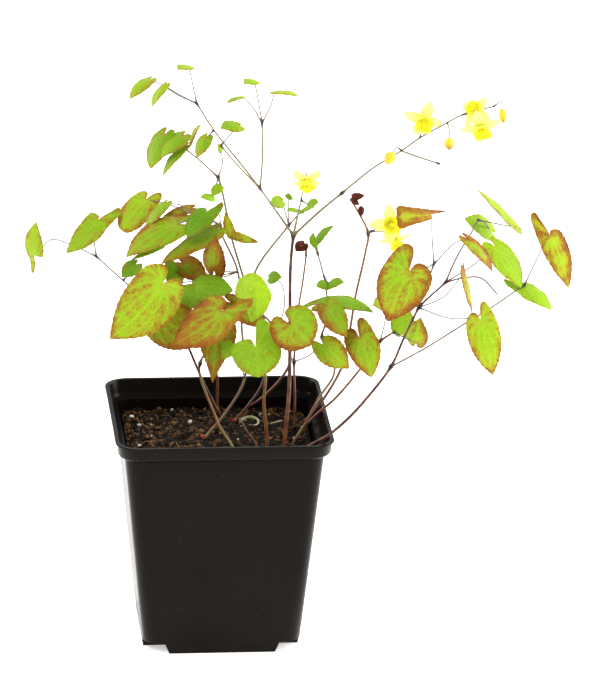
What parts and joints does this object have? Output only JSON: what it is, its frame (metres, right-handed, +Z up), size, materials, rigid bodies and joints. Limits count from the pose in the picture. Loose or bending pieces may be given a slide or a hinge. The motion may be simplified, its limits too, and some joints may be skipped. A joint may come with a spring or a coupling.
{
  "type": "potted sulphureum barrenwort",
  "caption": "Clump of thin branching stalks with heart-shaped leaflets and a spray of yellow cup flowers, in a square black nursery pot of compost.",
  "frame": {"origin": "middle of the pot's underside, on the flat foot", "axes": "+Z up, -Y towards the side that the picture shows, +X to its right"},
  "size_m": [0.2731, 0.112, 0.2972],
  "materials": {
    "pot": "black moulded plastic, slightly shiny",
    "compost": "dark moist peat and bark compost",
    "leaf": "thin yellow-green leaf with a red-brown edge and mottling",
    "shoot": "smooth red young stalk",
    "sepal": "pale yellow sepal",
    "petal": "bright yellow petal cup",
    "bud": "yellow bud with a brownish tip"
  },
  "bodies": {
    "root": {"pot": "pot", "compost": "compost", "frond_far_left": "leaf", "frond_front_left": "leaf", "frond_behind_left": "leaf", "frond_back_left": "leaf", "frond_upper_left": "leaf", "frond_middle": "leaf", "frond_front_middle": "leaf", "flowering_stalk": "leaf", "frond_centre_right": "leaf", "frond_right": "leaf", "bud_stalk": "leaf", "frond_lower_right": "leaf", "frond_far_right": "leaf", "young_shoot": "shoot", "bloom_spray_sepals": "sepal", "bloom_spray_cup": "petal", "bloom_end_upper_sepals": "sepal", "bloom_end_upper_cup": "petal", "bloom_end_lower_sepals": "sepal", "bloom_end_lower_cup": "petal", "bloom_low_middle_sepals": "sepal", "bloom_low_middle_cup": "petal", "bloom_right_sepals": "sepal", "bloom_right_cup": "petal", "bloom_right_low_sepals": "sepal", "bloom_right_low_cup": "petal", "bud_spray": "bud", "bud_hanging": "bud", "bud_end": "bud"}
  },
  "joints": []
}
